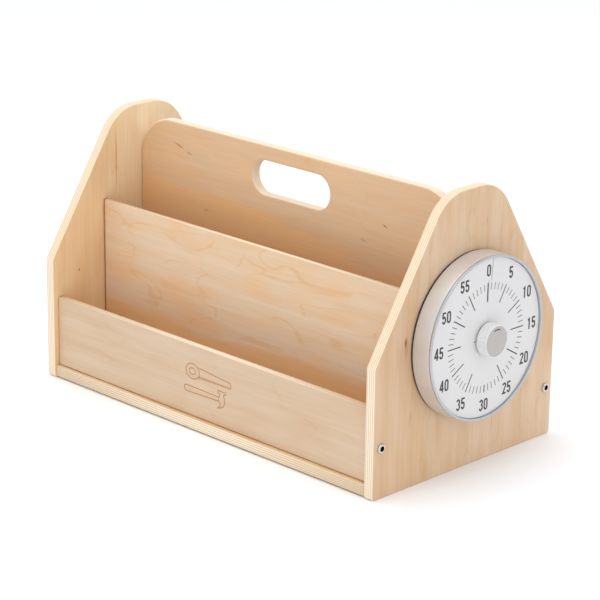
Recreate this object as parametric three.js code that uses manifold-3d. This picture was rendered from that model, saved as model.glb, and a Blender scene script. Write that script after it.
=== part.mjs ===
// An open carpenter's caddy in birch plywood, with a sixty-minute timer on one end.
//
// Millimetres. X runs along the handle, Y across the caddy and Z up from the floor it stands on.
// The timer is on the +X end. The origin is on the floor, at the middle of the whole object.

import * as THREE from 'three';
import { mergeVertices } from 'three/addons/utils/BufferGeometryUtils.js';
import Module from 'manifold-3d';

// ---------------------------------------------------------------------------------------------
// Sizes of the plywood box

const length = 508;             // over the outer faces of the two end panels
const depth = 279;              // front to back, over an end panel
const height = 300;             // floor to the crown of an end panel
const seam = 0.2;               // glue line between two boards

const endThickness = 12;
const shoulderHeight = 140;     // an end panel's edges are upright below this and slope in above it
const crownWidth = 80;          // an end panel's flat top, before its corners are rounded
const crownRadius = 50;
const shoulderRadius = 8;
const footRadius = 4;

const bottomThickness = 12;
const bottomLift = 2;           // air under the bottom board
const bottomInset = 1.6;        // the bottom board's long edges, in from the end panels' edges
const tongueLength = 4;         // the bottom board's tongues, into the end panels
const tongueShoulder = 14;      // a tongue stops this far from the board's long edges

const lipHeight = 81;
const lipThickness = 9;
const lipInset = 6.5;           // a lip's outer face, in from the end panels' edges

const dividerHeight = 183;
const dividerThickness = 6;
const dividerOffset = 60.7;     // from the handle board's middle to a divider's middle
const dividerHousing = 3;       // a divider's ends, let into the end panels

const handleThickness = 12;
const handleDrop = 11;          // the handle board's top edge, below the crown
const handleRadius = 50;        // its two top corners
const slotLength = 117;
const slotHeight = 38;
const slotDrop = 36.5;          // middle of the hand slot, below the board's top edge

// ---------------------------------------------------------------------------------------------
// Sizes of the screws

const screwFit = 0.3;           // clear space round a screw
const boxScrew = { head: 5.1, rise: 2, shank: 2.6, length: 46, socket: 2.6, socketDepth: 1.6 };
const handleScrewPitch = 110;   // between the two screws in each end of the handle board
const sinkDepth = 3;            // pockets that keep screw heads under the timer below the surface
const timerScrew = { head: 3.6, rise: 2, shank: 1.6, length: 20, socket: 1.4, socketDepth: 1.2 };
const timerScrewAcross = 44;    // timer screws, from the dial's middle across and up
const timerScrewUp = 34;

// ---------------------------------------------------------------------------------------------
// Sizes of the timer, with distances outward from the end panel's face

const timerHeight = 146.5;      // middle of the dial above the floor
const timerDepth = 25.4;        // end panel to the front of the bezel
const timerBackRadius = 88.3;
const timerFrontRadius = 87.4;
const fit = 0.3;                // clear space between parts that don't move
const running = 0.1;            // clear space round a part that turns

const coverThickness = 1.8;
const coverInset = 0.4;         // the dark back cover, in from the housing's edge
const housingWall = 2.2;
const bezelRim = 3;             // width of the bezel's front
const bezelHeight = 2.2;
const bezelEdge = 0.8;          // bevel round the bezel's front
const bezelSkirt = 0.9;         // thickness of the bezel's sleeve, inside the housing
const bezelSkirtDepth = 3.8;

const rampRise = 0.8;           // the dial sheet and the time disc climb this much in one turn
const sheetThickness = 0.15;
const dialRecess = 3;           // the zero end of the dial sheet, below the bezel's front
const dialHoleMargin = 3;       // the dial's hole, beyond the shaft
const discRadius = 60;
const discMargin = 0.6;         // the time disc's hole, beyond the shaft, and its slit, beyond its edge
const discSpace = 3;            // between the time disc and the tray behind it

const trayThickness = 1.2;
const trayRimWidth = 4;

const knobRadius = 17.4;        // at its foot
const knobFaceRadius = 17;
const knobHeight = 12.4;
const knobClearance = 1.3;      // under the knob, with the time disc wound all the way out
const knobRibs = 48;
const knobRibDepth = 0.5;
const knobEdge = 0.8;           // bevel round the knob's face
const shaftRadius = 3;
const shaftInKnob = 9;

// Sizes of the clockwork behind the dial

const caseWidth = 72;
const caseDepth = 52;
const caseLift = 0.9;           // between the case and the back cover
const caseWall = 1.6;
const caseLid = 1.6;
const gearModule = 1;
const gearTeeth = 40;
const pinionTeeth = 10;
const gearLift = 3.9;           // the gears, above the case's floor
const gearThickness = 3;
const gearBacklash = 0.1;       // added to the distance between the two gears' axes
const pinionAxle = 1;

const coilRadius = 4;
const coilLength = 14;
const coilMargin = 1.4;         // between the coil and the case's walls
const boardWidth = 10;
const boardDepth = 44;
const boardThickness = 1.2;
const buzzerRadius = 4.6;
const buzzerHeight = 3;
const buzzerY = -17;

const cellRadius = 7.25;
const cellLength = 49.5;
const cellButton = 2.75;        // radius of the cell's positive button
const cellButtonHeight = 1;
const cellSpace = 4.75;         // between the cell and the clockwork case
const contactThickness = 0.4;
const contactWidth = 11;
const springRadius = 3;
const springWire = 0.4;
const springLength = 4.5;
const springTurns = 3;
const doorMargin = 4;           // battery door, beyond the cell and its contacts
const bossWall = 2.6;
const bossHeight = 8;

// Facets in one turn of a large round part, of a small one and of a climbing sheet

const largeFacets = 64;
const smallFacets = 16;
const columns = 90;
const quarter = Math.PI / 2;

// ---------------------------------------------------------------------------------------------
// Colours

function paint(color, roughness, metalness = 0) {
  return new THREE.MeshStandardMaterial({ color, roughness, metalness });
}

const endPly = () => paint('#d6b994', 0.55);
const lipPly = () => paint('#dec5a8', 0.55);
const dividerPly = () => paint('#dcc1a7', 0.55);
const handlePly = () => paint('#d8b48b', 0.55);
const steel = () => paint('#9a9894', 0.35, 0.9);
const champagne = () => paint('#c9bbab', 0.38, 0.3);
const darkPlastic = () => paint('#3a3d44', 0.6);
const whitePlastic = () => paint('#e4e3e0', 0.5);
const gearPlastic = () => paint('#d9cfae', 0.45);

// ---------------------------------------------------------------------------------------------
// Booleans

const wasm = await Module();
wasm.setup();

// The closed solid inside a geometry, with shared corners merged and empty triangles dropped.
function solid(geometry) {
  const bare = geometry.clone();
  bare.deleteAttribute('normal');
  bare.deleteAttribute('uv');
  const merged = mergeVertices(bare, 1e-5);
  const index = merged.index.array;
  const triangles = [];
  for (let i = 0; i < index.length; i += 3) {
    const [a, b, c] = [index[i], index[i + 1], index[i + 2]];
    if (a !== b && b !== c && c !== a) triangles.push(a, b, c);
  }
  return new wasm.Manifold(new wasm.Mesh({
    numProp: 3,
    vertProperties: new Float32Array(merged.attributes.position.array),
    triVerts: new Uint32Array(triangles),
  }));
}

function surface(body) {
  const mesh = body.getMesh();
  const geometry = new THREE.BufferGeometry();
  geometry.setAttribute('position', new THREE.BufferAttribute(mesh.vertProperties, 3));
  geometry.setIndex(new THREE.BufferAttribute(mesh.triVerts, 1));
  geometry.computeVertexNormals();
  return geometry;
}

function cut(geometry, tools) {
  return surface(tools.reduce((body, tool) => body.subtract(solid(tool)), solid(geometry)));
}

function join(geometry, others) {
  return surface(others.reduce((body, other) => body.add(solid(other)), solid(geometry)));
}

// ---------------------------------------------------------------------------------------------
// Shapes

// A box between two opposite corners.
function block([x0, y0, z0], [x1, y1, z1]) {
  const box = new THREE.BoxGeometry(x1 - x0, y1 - y0, z1 - z0);
  return box.translate((x0 + x1) / 2, (y0 + y1) / 2, (z0 + z1) / 2);
}

// A solid of revolution round Z. Its profile is a list of [radius, z], up the outside.
function turned(profile, facets = smallFacets) {
  const points = profile.map(([radius, z]) => new THREE.Vector2(radius, z));
  return new THREE.LatheGeometry(points, facets).rotateX(quarter);
}

// A rod along Z.
function rod(radius, z0, z1, x = 0, y = 0, facets = smallFacets) {
  return turned([[0, z0], [radius, z0], [radius, z1], [0, z1]], facets).translate(x, y, 0);
}

// An outline from corners [x, y, radius], listed anticlockwise, each rounded by an arc.
function roundedShape(corners) {
  const shape = new THREE.Shape();
  corners.forEach(([x, y, radius], i) => {
    const toward = ([u, v]) => new THREE.Vector2(u - x, v - y).normalize();
    const before = toward(corners.at(i - 1));
    const after = toward(corners[(i + 1) % corners.length]);
    const half = Math.acos(before.dot(after)) / 2;
    const setback = radius / Math.tan(half);
    const start = before.clone().multiplyScalar(setback);
    const end = after.clone().multiplyScalar(setback);
    const centre = before.add(after).setLength(radius / Math.sin(half));
    start.sub(centre);
    end.sub(centre);
    shape.absarc(x + centre.x, y + centre.y, radius, start.angle(), end.angle(), false);
  });
  return shape;
}

function extruded(shape, thickness, curveSegments = 12) {
  const options = { depth: thickness, bevelEnabled: false, curveSegments };
  const geometry = new THREE.ExtrudeGeometry(shape, options);
  return geometry.translate(0, 0, -thickness / 2);
}

// A thin sheet that climbs toward the viewer as it goes round clockwise from twelve o'clock.
// Each ring between two radii makes one full turn, from its own first column.
function rampSheet(radii, firstColumns, base) {
  const last = columns + Math.max(...firstColumns);
  const corners = [];
  for (let i = 0; i <= last; i += 1) {
    const turn = i / columns;
    const angle = turn * 2 * Math.PI;
    for (const radius of radii) {
      const z = base + rampRise * turn;
      corners.push(radius * Math.sin(angle), radius * Math.cos(angle), z);
      corners.push(radius * Math.sin(angle), radius * Math.cos(angle), z - sheetThickness);
    }
  }
  const front = (i, j) => 2 * (i * radii.length + j);
  const back = (i, j) => front(i, j) + 1;
  const present = (i, j) => j >= 0 && j < firstColumns.length
    && i >= firstColumns[j] && i < firstColumns[j] + columns;
  const triangles = [];
  const wall = (p, q) => {
    triangles.push(back(...p), back(...q), front(...q), back(...p), front(...q), front(...p));
  };
  for (let i = 0; i < last; i += 1) {
    for (let j = 0; j < firstColumns.length; j += 1) {
      if (!present(i, j)) continue;
      const [a, b, c, d] = [[i, j], [i + 1, j], [i + 1, j + 1], [i, j + 1]];
      triangles.push(front(...a), front(...b), front(...c), front(...a), front(...c), front(...d));
      triangles.push(back(...a), back(...c), back(...b), back(...a), back(...d), back(...c));
      if (!present(i, j - 1)) wall(a, b);
      if (!present(i + 1, j)) wall(b, c);
      if (!present(i, j + 1)) wall(c, d);
      if (!present(i - 1, j)) wall(d, a);
    }
  }
  const geometry = new THREE.BufferGeometry();
  geometry.setAttribute('position', new THREE.BufferAttribute(new Float32Array(corners), 3));
  geometry.setIndex(triangles);
  geometry.computeVertexNormals();
  return geometry;
}

// A spur gear's outline with straight-sided teeth, one of them centred on the given angle.
function gearShape(teeth, bore, angle) {
  const pitchRadius = gearModule * teeth / 2;
  const rootRadius = pitchRadius - 1.25 * gearModule;
  const tipRadius = pitchRadius + 0.9 * gearModule;
  const pitch = 2 * Math.PI / teeth;
  const outline = [];
  const rootHalf = 0.29;        // half a tooth's width at its root, as a share of the pitch
  const tipHalf = 0.1;          // and at its tip
  for (let i = 0; i < teeth; i += 1) {
    const middle = angle + i * pitch;
    const root = [rootRadius, rootHalf];
    const tip = [tipRadius, tipHalf];
    for (const [[radius, half], side] of [[root, -1], [tip, -1], [tip, 1], [root, 1]]) {
      const at = middle + side * half * pitch;
      outline.push(new THREE.Vector2(radius * Math.cos(at), radius * Math.sin(at)));
    }
  }
  const shape = new THREE.Shape(outline);
  if (bore > 0) shape.holes.push(new THREE.Path().absarc(0, 0, bore, 0, 2 * Math.PI, true));
  return shape;
}

// A socket-head screw along Z: the head's underside is at z = 0 and the shank points down.
function screw({ head, rise, shank, length: reach, socket, socketDepth }) {
  const body = turned([
    [0, -reach], [shank, shank - reach], [shank, 0], [head, 0],
    [head, rise * 0.5], [head * 0.82, rise], [0, rise],
  ]);
  const hexagon = new THREE.CylinderGeometry(socket, socket, 2 * socketDepth, 6).rotateX(quarter);
  return cut(body, [hexagon.translate(0, 0, rise)]);
}

// ---------------------------------------------------------------------------------------------
// Assembly

const coverTop = fit + coverThickness;
const dialBase = timerDepth - dialRecess;
const knobFoot = dialBase + 1.5 * rampRise + knobClearance;
const knobFront = knobFoot + knobHeight;

const caddy = new THREE.Group();
caddy.position.x = (seam + boxScrew.rise - knobFront) / 2;

function piece(parent, name, geometry, material, [x, y, z] = [0, 0, 0]) {
  const mesh = new THREE.Mesh(geometry, material);
  mesh.name = name;
  mesh.position.set(x, y, z);
  parent.add(mesh);
  return mesh;
}

const bayLength = length - 2 * endThickness;
const floorTop = bottomLift + bottomThickness;
const boardFoot = floorTop + seam;
const lipMiddle = depth / 2 - lipInset - lipThickness / 2;
const lipScrewHeight = boardFoot + lipHeight / 2;
const handleTop = height - handleDrop;
const handleScrewHeights = [timerHeight - handleScrewPitch / 2, timerHeight + handleScrewPitch / 2];
const timerScrewSpots = [[-1, -1], [-1, 1], [1, -1], [1, 1]].map(([u, v]) => (
  [u * timerScrewAcross, v * timerScrewUp]));
const shankHole = boxScrew.shank + screwFit;

// End panels. Each is drawn across the caddy: its own x is Y, its own y is Z, its own z is X.
function endPanel(side) {
  const face = endThickness / 2;
  const slab = extruded(roundedShape([
    [-depth / 2, 0, footRadius], [depth / 2, 0, footRadius],
    [depth / 2, shoulderHeight, shoulderRadius], [crownWidth / 2, height, crownRadius],
    [-crownWidth / 2, height, crownRadius], [-depth / 2, shoulderHeight, shoulderRadius],
  ]), endThickness);
  const groove = (u0, u1, v0, v1, deep) => {
    const walls = [-side * (face - deep - seam), -side * (face + 1)].sort((a, b) => a - b);
    return block([u0 - seam, v0 - seam, walls[0]], [u1 + seam, v1 + seam, walls[1]]);
  };
  const tongueHalf = depth / 2 - bottomInset - tongueShoulder;
  const tools = [groove(-tongueHalf, tongueHalf, bottomLift, floorTop, tongueLength)];
  for (const y of [-1, 1]) {
    const middle = y * dividerOffset;
    const half = dividerThickness / 2;
    tools.push(groove(middle - half, middle + half, boardFoot, boardFoot + dividerHeight, dividerHousing));
    tools.push(rod(shankHole, -face - 1, face + 1, y * lipMiddle, lipScrewHeight));
  }
  for (const z of handleScrewHeights) {
    tools.push(rod(shankHole, -face - 1, face + 1, 0, z));
    if (side > 0) tools.push(rod(boxScrew.head + screwFit, face - sinkDepth, face + 1, 0, z));
  }
  if (side > 0) {
    for (const [u, v] of timerScrewSpots) {
      tools.push(rod(timerScrew.shank + screwFit, -face - 1, face + 1, u, timerHeight + v));
    }
  }
  return cut(slab, tools);
}

for (const [side, name] of [[-1, 'left_end_panel'], [1, 'right_end_panel']]) {
  const panel = piece(caddy, name, endPanel(side), endPly(), [side * (length - endThickness) / 2, 0, 0]);
  panel.rotation.set(quarter, quarter, 0);
}

// Bottom board, with a tongue at each end.
const bottomHalf = depth / 2 - bottomInset;
const bottomBoard = join(
  block([-bayLength / 2 + seam, -bottomHalf, bottomLift], [bayLength / 2 - seam, bottomHalf, floorTop]),
  [block(
    [-bayLength / 2 - tongueLength, tongueShoulder - bottomHalf, bottomLift],
    [bayLength / 2 + tongueLength, bottomHalf - tongueShoulder, floorTop],
  )],
);
piece(caddy, 'bottom_board', bottomBoard, handlePly());

// Upright boards. Each is drawn facing the front: its own y is Z and its thickness runs along Y.
const uprights = new THREE.Group();
uprights.rotation.x = quarter;
caddy.add(uprights);

const pilotDepth = boxScrew.length - endThickness + sinkDepth + screwFit;
const pilots = (z) => [-1, 1].map((side) => {
  const hole = rod(shankHole, -pilotDepth, 1).rotateY(side * quarter);
  return hole.translate(side * bayLength / 2, z, 0);
});

const lipHalf = bayLength / 2 - seam;
const lip = cut(
  block([-lipHalf, boardFoot, -lipThickness / 2], [lipHalf, boardFoot + lipHeight, lipThickness / 2]),
  pilots(lipScrewHeight),
);
const dividerHalf = bayLength / 2 + dividerHousing;
const divider = block(
  [-dividerHalf, boardFoot, -dividerThickness / 2],
  [dividerHalf, boardFoot + dividerHeight, dividerThickness / 2],
);
for (const [side, name] of [[1, 'front'], [-1, 'back']]) {
  piece(uprights, `${name}_lip`, lip, lipPly(), [0, 0, side * lipMiddle]);
  piece(uprights, `${name}_divider`, divider, dividerPly(), [0, 0, side * dividerOffset]);
}

const handleShape = roundedShape([
  [-lipHalf, boardFoot, 0.5], [lipHalf, boardFoot, 0.5],
  [lipHalf, handleTop, handleRadius], [-lipHalf, handleTop, handleRadius],
]);
const slotMiddle = handleTop - slotDrop;
const slotStraight = (slotLength - slotHeight) / 2;
const handSlot = new THREE.Path();
handSlot.absarc(slotStraight, slotMiddle, slotHeight / 2, quarter, -quarter, true);
handSlot.absarc(-slotStraight, slotMiddle, slotHeight / 2, -quarter, quarter, true);
handleShape.holes.push(handSlot);
const handleBoard = cut(extruded(handleShape, handleThickness), handleScrewHeights.flatMap(pilots));
piece(uprights, 'handle_board', handleBoard, handlePly());

// Screws through the end panels. Those behind the timer sit in pockets.
const boxScrewBody = screw(boxScrew);
for (const [side, name] of [[-1, 'left'], [1, 'right']]) {
  const face = length / 2 + seam;
  const spots = [
    [`${name}_lip_screw_front`, -lipMiddle, lipScrewHeight, face],
    [`${name}_lip_screw_back`, lipMiddle, lipScrewHeight, face],
  ];
  const handleFace = side > 0 ? face - sinkDepth : face;
  handleScrewHeights.forEach((z, i) => {
    spots.push([`${name}_handle_screw_${i ? 'upper' : 'lower'}`, 0, z, handleFace]);
  });
  for (const [screwName, y, z, x] of spots) {
    piece(caddy, screwName, boxScrewBody, steel(), [side * x, y, z]).rotation.y = side * quarter;
  }
}

// ---------------------------------------------------------------------------------------------
// Timer. Its own x is Y, its own y is Z and its own z points out of the end panel.

const timer = new THREE.Group();
timer.position.set(length / 2, 0, timerHeight);
timer.rotation.set(quarter, quarter, 0);
caddy.add(timer);

// Back cover: a plate with four screw bosses and a hole for the battery door.
const cellY = -(caseDepth / 2 + cellSpace + cellRadius);
const cellMiddle = coverTop + 2 * fit + cellRadius;
const doorHalfWidth = cellLength / 2 + springLength + doorMargin;
const doorHalfHeight = cellRadius + 1;
const doorway = block(
  [-doorHalfWidth, cellY - doorHalfHeight, 0],
  [doorHalfWidth, cellY + doorHalfHeight, coverTop + 1],
);
const bosses = timerScrewSpots.map(([x, y]) => (
  rod(timerScrew.shank + screwFit + bossWall, coverTop - 1, coverTop + bossHeight, x, y)));
const bossHoles = timerScrewSpots.map(([x, y]) => (
  rod(timerScrew.shank + screwFit, 0, timerScrew.length - endThickness + screwFit, x, y)));
const coverPlate = rod(timerBackRadius - coverInset, fit, coverTop, 0, 0, largeFacets);
piece(timer, 'timer_back_cover', cut(join(coverPlate, bosses), [doorway, ...bossHoles]), darkPlastic());
piece(timer, 'battery_door', block(
  [fit - doorHalfWidth, cellY - doorHalfHeight + fit, fit],
  [doorHalfWidth - fit, cellY + doorHalfHeight - fit, coverTop],
), darkPlastic());

const timerScrewBody = screw(timerScrew);
timerScrewSpots.forEach(([x, y], i) => {
  const seat = [x, y, -endThickness - seam];
  piece(timer, `timer_screw_${i + 1}`, timerScrewBody, steel(), seat).rotation.x = Math.PI;
});

// Housing: a tapering wall. The bezel closes its front and the back cover its back.
const housingBack = coverTop + fit;
const housingFront = timerDepth - bezelHeight - fit;
const housingInner = timerFrontRadius - housingWall;
piece(timer, 'timer_housing', turned([
  [housingInner, housingBack], [timerBackRadius, housingBack],
  [timerFrontRadius, housingFront], [housingInner, housingFront], [housingInner, housingBack],
], largeFacets), champagne());

const bezelInner = timerFrontRadius - bezelRim;
const bezelFoot = timerDepth - bezelHeight;
const skirtOuter = Math.min(bezelInner + bezelSkirt, housingInner - fit);
piece(timer, 'timer_bezel', turned([
  [bezelInner, bezelFoot - bezelSkirtDepth], [skirtOuter, bezelFoot - bezelSkirtDepth],
  [skirtOuter, bezelFoot], [timerFrontRadius, bezelFoot], [timerFrontRadius, timerDepth - bezelEdge],
  [timerFrontRadius - bezelEdge, timerDepth], [bezelInner, timerDepth],
  [bezelInner, bezelFoot - bezelSkirtDepth],
], largeFacets), paint('#cfcdca', 0.35, 0.4));

// Dial: a sheet with a slit from its hole to its rim. The time disc winds out through the slit.
const dialRadius = bezelInner - fit;
const dialRings = [shaftRadius + dialHoleMargin, discRadius + discMargin, dialRadius];
const discRings = [shaftRadius + discMargin, discRadius];
const discBase = dialBase - rampRise / 2;
piece(timer, 'dial_face', rampSheet(dialRings, [0, 1], dialBase), whitePlastic());
piece(timer, 'time_disc', rampSheet(discRings, [0], discBase), paint('#9c3f86', 0.45));

// Tray: carries the dial's edge and the clockwork.
const trayTop = discBase - sheetThickness - discSpace;
const trayFoot = trayTop - trayThickness;
const trayRimTop = dialBase - sheetThickness - fit;
const trayRadius = housingInner - fit;
const trayRim = dialRadius - fit;
piece(timer, 'dial_tray', turned([
  [shaftRadius + 1, trayFoot], [trayRadius, trayFoot], [trayRadius, trayTop], [trayRim, trayTop],
  [trayRim, trayRimTop], [trayRim - trayRimWidth, trayRimTop], [trayRim - trayRimWidth, trayTop],
  [shaftRadius + 1, trayTop], [shaftRadius + 1, trayFoot],
], largeFacets), whitePlastic());

// Knob and the shaft it is pressed on.
function ribbedKnob() {
  const steps = 2 * knobRibs;
  const levels = [
    [knobFoot, knobRadius, 0], [knobFoot + knobEdge, knobRadius, knobRibDepth],
    [knobFront - knobEdge, knobFaceRadius, knobRibDepth], [knobFront, knobFaceRadius - knobEdge, 0],
  ];
  const corners = [0, 0, knobFoot, 0, 0, knobFront];
  for (const [z, radius, rib] of levels) {
    for (let i = 0; i < steps; i += 1) {
      const angle = 2 * Math.PI * i / steps;
      const r = radius - (i % 2) * rib;
      corners.push(r * Math.cos(angle), r * Math.sin(angle), z);
    }
  }
  const at = (level, i) => 2 + level * steps + i % steps;
  const triangles = [];
  for (let i = 0; i < steps; i += 1) {
    triangles.push(0, at(0, i + 1), at(0, i));
    triangles.push(1, at(levels.length - 1, i), at(levels.length - 1, i + 1));
    for (let level = 0; level < levels.length - 1; level += 1) {
      const [a, b, c, d] = [at(level, i), at(level, i + 1), at(level + 1, i + 1), at(level + 1, i)];
      triangles.push(a, b, c, a, c, d);
    }
  }
  const geometry = new THREE.BufferGeometry();
  geometry.setAttribute('position', new THREE.BufferAttribute(new Float32Array(corners), 3));
  geometry.setIndex(triangles);
  geometry.computeVertexNormals();
  return geometry;
}

const caseFoot = coverTop + caseLift;
const shaftFoot = caseFoot + caseWall + fit;
const shaftTop = knobFoot + shaftInKnob;
const knobBore = rod(shaftRadius + running, knobFoot - 1, shaftTop + running);
piece(timer, 'timer_knob', cut(ribbedKnob(), [knobBore]), paint('#c2bebd', 0.5));
piece(timer, 'knob_shaft', rod(shaftRadius, shaftFoot, shaftTop), steel());

// Clockwork case: an open box and its lid, with bearings for the shaft and the pinion.
const pinionX = gearModule * (gearTeeth + pinionTeeth) / 2 + gearBacklash;
const caseOuter = roundedShape([
  [-caseWidth / 2, -caseDepth / 2, 3], [caseWidth / 2, -caseDepth / 2, 3],
  [caseWidth / 2, caseDepth / 2, 3], [-caseWidth / 2, caseDepth / 2, 3],
]);
const caseTop = trayFoot - caseLid - 2 * fit;
const caseHeight = caseTop - caseFoot;
const caseHollow = block(
  [caseWall - caseWidth / 2, caseWall - caseDepth / 2, caseFoot + caseWall],
  [caseWidth / 2 - caseWall, caseDepth / 2 - caseWall, caseTop + 1],
);
const caseBlock = extruded(caseOuter, caseHeight, 5).translate(0, 0, caseFoot + caseHeight / 2);
const pinionBearing = rod(pinionAxle + running, 0, trayFoot, pinionX, 0);
piece(timer, 'clockwork_case', cut(caseBlock, [caseHollow, pinionBearing]), darkPlastic());

const lidFoot = caseTop + fit;
const caseLidPlate = extruded(caseOuter, caseLid, 5).translate(0, 0, lidFoot + caseLid / 2);
const shaftBearing = rod(shaftRadius + running, 0, trayFoot);
piece(timer, 'clockwork_lid', cut(caseLidPlate, [shaftBearing, pinionBearing]), darkPlastic());

// Gears: the large one on the knob's shaft, the small one on the step motor's rotor.
const gearMiddle = caseFoot + caseWall + gearLift + gearThickness / 2;
piece(
  timer, 'shaft_gear', extruded(gearShape(gearTeeth, shaftRadius + running, 0), gearThickness),
  gearPlastic(), [0, 0, gearMiddle],
);
const pinionBody = join(
  extruded(gearShape(pinionTeeth, 0, Math.PI / pinionTeeth), gearThickness + 1),
  [rod(pinionAxle, caseFoot + fit - gearMiddle, caseTop + fit + caseLid - gearMiddle, 0, 0)],
);
piece(timer, 'motor_pinion', pinionBody, gearPlastic(), [pinionX, 0, gearMiddle]);

// Step motor coil, circuit board and buzzer.
const coilX = caseWidth / 2 - caseWall - coilMargin - coilRadius;
const coilY = coilLength / 2 + coilMargin + caseWall - caseDepth / 2;
const coil = rod(coilRadius, -coilLength / 2, coilLength / 2, 0, 0).rotateX(quarter);
const coilZ = caseFoot + caseWall + fit + coilRadius;
piece(timer, 'motor_coil', coil, paint('#a8602f', 0.4, 0.7), [coilX, coilY, coilZ]);
const boardX = caseWall + 1 + boardWidth / 2 - caseWidth / 2;
const boardZ = caseFoot + caseWall + fit;
piece(timer, 'circuit_board', block(
  [boardX - boardWidth / 2, -boardDepth / 2, boardZ],
  [boardX + boardWidth / 2, boardDepth / 2, boardZ + boardThickness],
), paint('#2e6b48', 0.5));
const buzzerFoot = boardZ + boardThickness + fit;
piece(
  timer, 'buzzer', rod(buzzerRadius, buzzerFoot, buzzerFoot + buzzerHeight),
  paint('#2b2b2e', 0.5), [boardX, buzzerY, 0],
);

// Battery, with a plate contact on its button and a coil spring on its base.
const cell = turned([
  [0, -cellLength / 2], [cellRadius, -cellLength / 2], [cellRadius, cellLength / 2],
  [cellButton, cellLength / 2], [cellButton, cellLength / 2 + cellButtonHeight],
  [0, cellLength / 2 + cellButtonHeight],
], 24).rotateY(quarter);
piece(timer, 'battery_cell', cell, paint('#4a4d52', 0.4, 0.5), [0, cellY, cellMiddle]);

const contactHalf = contactWidth / 2;
const plateContact = block([0, -contactHalf, -contactHalf], [contactThickness, contactHalf, contactHalf]);
const plusX = cellLength / 2 + cellButtonHeight + fit;
piece(timer, 'battery_contact_plus', plateContact, steel(), [plusX, cellY, cellMiddle]);

class CoilCurve extends THREE.Curve {
  getPoint(t, target = new THREE.Vector3()) {
    const angle = 2 * Math.PI * springTurns * t;
    const radius = springRadius * (1 - 0.3 * t);
    const reach = springWire + (springLength - 2 * springWire - fit) * t;
    return target.set(reach, radius * Math.cos(angle), radius * Math.sin(angle));
  }
}
const wireSection = new THREE.Shape().absarc(0, 0, springWire, 0, 2 * Math.PI, false);
const spring = new THREE.ExtrudeGeometry(wireSection, {
  steps: 36, curveSegments: 3, bevelEnabled: false, extrudePath: new CoilCurve(),
});
const minusX = -cellLength / 2 - springLength;
const minusContact = join(plateContact, [spring]);
piece(timer, 'battery_contact_minus', minusContact, steel(), [minusX, cellY, cellMiddle]);

export default caddy;
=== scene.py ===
"""A birch plywood carpenter's caddy with a sixty-minute timer on one end.

X runs along the handle, Y across the caddy and Z up from the floor. Sizes here are millimetres.
"""

import math

import bmesh
import bpy
import numpy as np
from mathutils import Matrix, Vector
from mathutils.geometry import tessellate_polygon


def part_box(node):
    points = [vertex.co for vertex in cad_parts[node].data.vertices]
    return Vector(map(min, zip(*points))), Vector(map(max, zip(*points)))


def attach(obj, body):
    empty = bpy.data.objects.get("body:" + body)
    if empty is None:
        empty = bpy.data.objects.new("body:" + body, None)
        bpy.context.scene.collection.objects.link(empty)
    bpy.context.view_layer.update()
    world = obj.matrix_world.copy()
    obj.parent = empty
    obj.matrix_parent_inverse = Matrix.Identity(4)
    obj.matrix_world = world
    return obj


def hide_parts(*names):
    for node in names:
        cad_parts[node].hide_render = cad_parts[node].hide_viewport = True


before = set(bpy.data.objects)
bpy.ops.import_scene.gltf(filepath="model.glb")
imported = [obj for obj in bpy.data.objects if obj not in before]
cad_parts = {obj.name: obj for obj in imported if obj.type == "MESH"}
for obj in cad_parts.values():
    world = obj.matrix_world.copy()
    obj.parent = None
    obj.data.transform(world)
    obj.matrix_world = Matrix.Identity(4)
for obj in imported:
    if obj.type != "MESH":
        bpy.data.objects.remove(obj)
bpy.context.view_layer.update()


# ---------------------------------------------------------------------------------------------
# End panels
# Two upright boards of 12 mm birch plywood, sawn to a tapering outline with rounded corners.
# Their long edges are rounded over and sanded, and screws go through them into the other boards.

def span(node):
    """Lowest and highest corner of a CAD node at rest, in millimetres."""
    low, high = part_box(node)
    return np.array(low) * 1000, np.array(high) * 1000


def colour(code):
    """Linear red, green, blue and 1, from an sRGB hex code."""
    parts = [int(code[i:i + 2], 16) / 255 for i in (1, 3, 5)]
    return [p / 12.92 if p <= 0.04045 else ((p + 0.055) / 1.055) ** 2.4 for p in parts] + [1]


def new_material(name):
    """An empty material, and the function that adds a node to it."""
    material = bpy.data.materials.new(name)
    material.use_nodes = True
    tree = material.node_tree
    tree.nodes.clear()

    def add(kind, inputs=(), out=0, **settings):
        """Adds a shader node and returns one output. Inputs are constants or other nodes' outputs."""
        node = tree.nodes.new("ShaderNode" + kind)
        for key, value in settings.items():
            setattr(node, key, value)
        for key, value in dict(inputs).items():
            if isinstance(value, bpy.types.NodeSocket):
                tree.links.new(value, node.inputs[key])
            else:
                node.inputs[key].default_value = value
        return node.outputs[out] if node.outputs else node

    return material, add


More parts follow.
